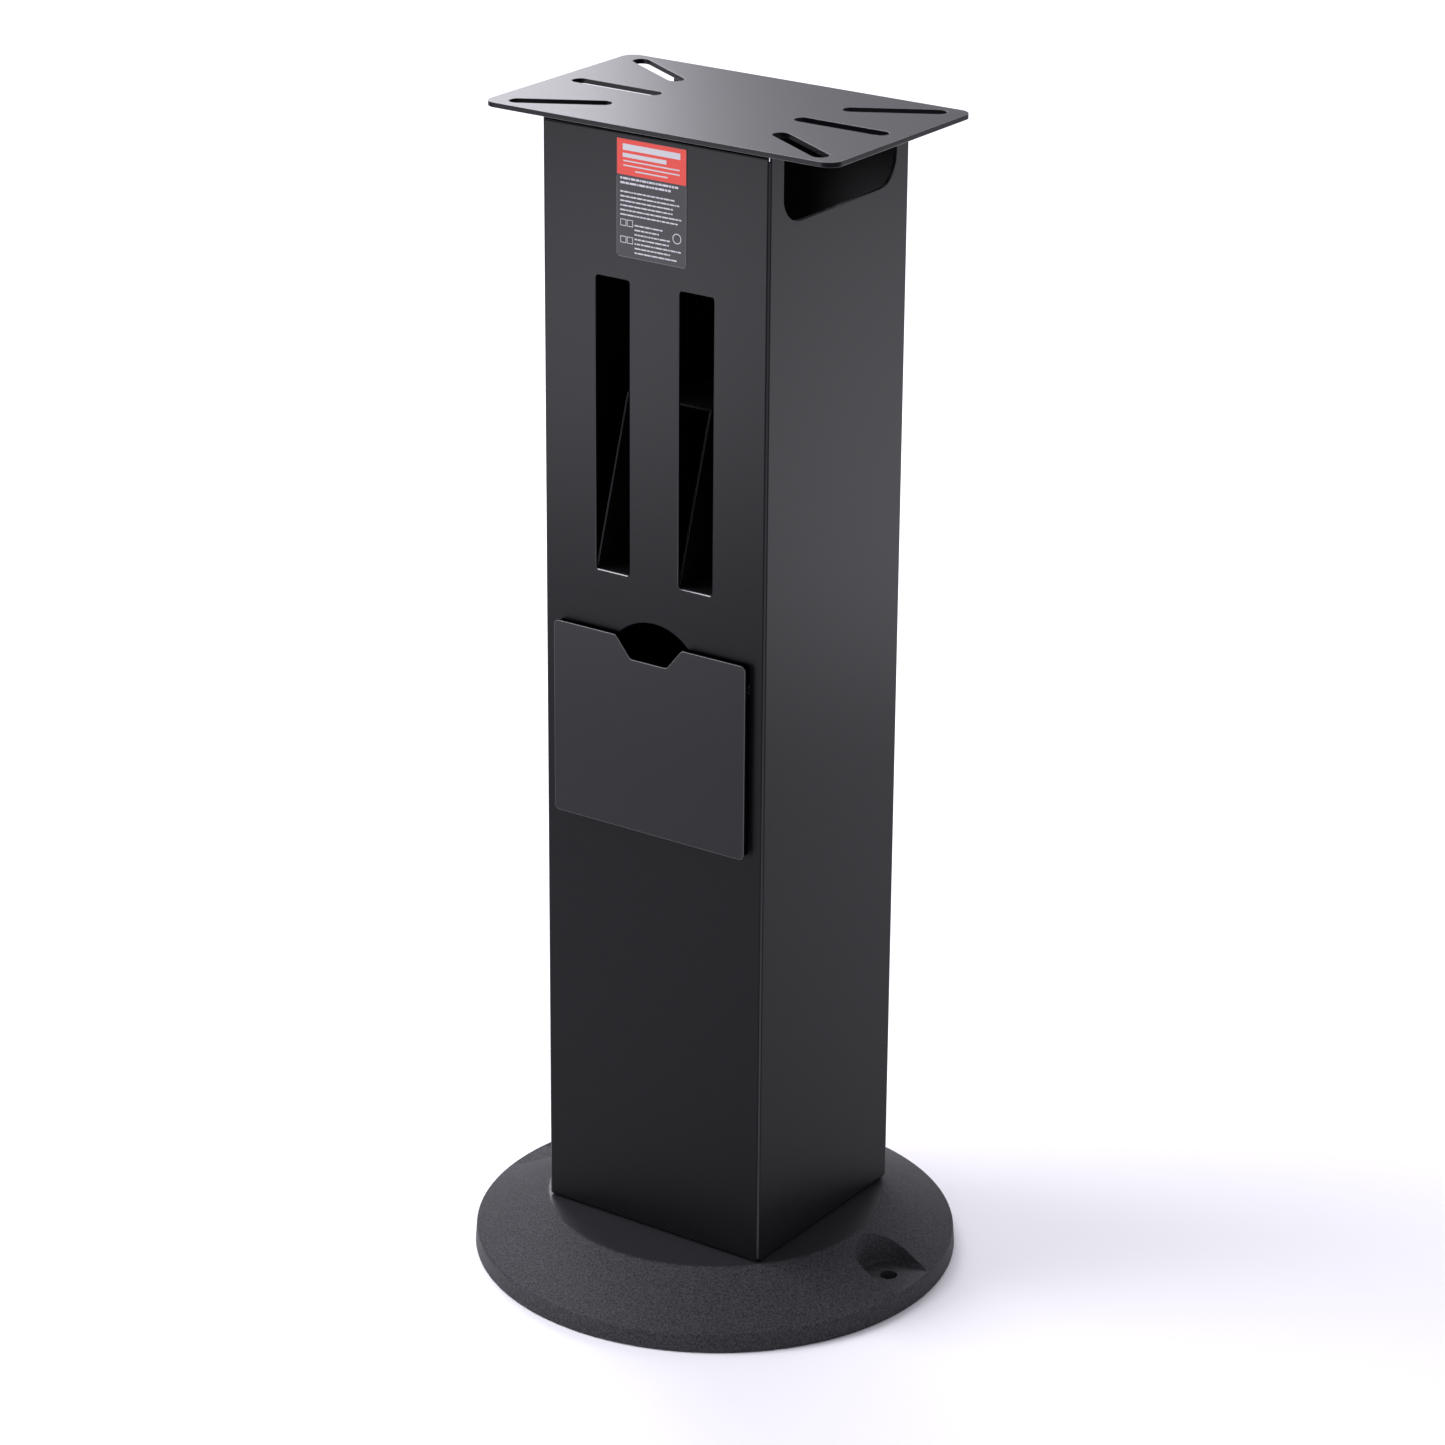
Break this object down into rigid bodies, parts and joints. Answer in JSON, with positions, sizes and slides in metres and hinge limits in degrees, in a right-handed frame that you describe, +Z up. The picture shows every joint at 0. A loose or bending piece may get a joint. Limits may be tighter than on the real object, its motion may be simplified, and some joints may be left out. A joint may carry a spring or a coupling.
{
  "type": "bench grinder pedestal stand",
  "caption": "Pedestal stand for a bench grinder: slotted top plate, folded steel column with wheel slots and a drawer, round cast foot.",
  "frame": {"origin": "centre of the round foot, on the floor", "axes": "+Z up, -Y is the front with the drawer and the wheel slots, +X is the right-hand side seen from the front"},
  "size_m": [0.3476, 0.3476, 0.838],
  "materials": {
    "cast_iron": "black textured coating, coarse grain",
    "powder_coat": "satin black powder coat",
    "inner_paint": "thin matte black coat",
    "galvanised": "galvanised sheet",
    "zinc": "zinc plated",
    "label": null
  },
  "bodies": {
    "stand": {"base_casting": "cast_iron", "column_shell": "powder_coat", "rear_cover": "powder_coat", "top_plate": "powder_coat", "wheel_rack": "inner_paint", "drawer_runner_left": "galvanised", "drawer_runner_right": "galvanised", "front_label": "label", "base_bolt_1": "zinc", "base_bolt_2": "zinc", "base_bolt_3": "zinc", "base_bolt_4": "zinc", "base_washer_1": "zinc", "base_washer_2": "zinc", "base_washer_3": "zinc", "base_washer_4": "zinc", "base_nut_1": "zinc", "base_nut_2": "zinc", "base_nut_3": "zinc", "base_nut_4": "zinc", "plate_stud_1": "zinc", "plate_stud_2": "zinc", "plate_stud_3": "zinc", "plate_stud_4": "zinc", "plate_nut_1": "zinc", "plate_nut_2": "zinc", "plate_nut_3": "zinc", "plate_nut_4": "zinc", "cover_screw_1": "zinc", "cover_screw_2": "zinc", "cover_screw_3": "zinc", "cover_screw_4": "zinc", "cover_screw_5": "zinc", "cover_screw_6": "zinc", "cover_screw_7": "zinc", "cover_screw_8": "zinc"},
    "drawer": {"drawer_front": "powder_coat", "drawer_box": "inner_paint"}
  },
  "joints": [
    {"name": "drawer_slide", "type": "slide", "parent": "stand", "child": "drawer", "axis": [0, -1, 0], "range_m": [0, 0.116]}
  ]
}
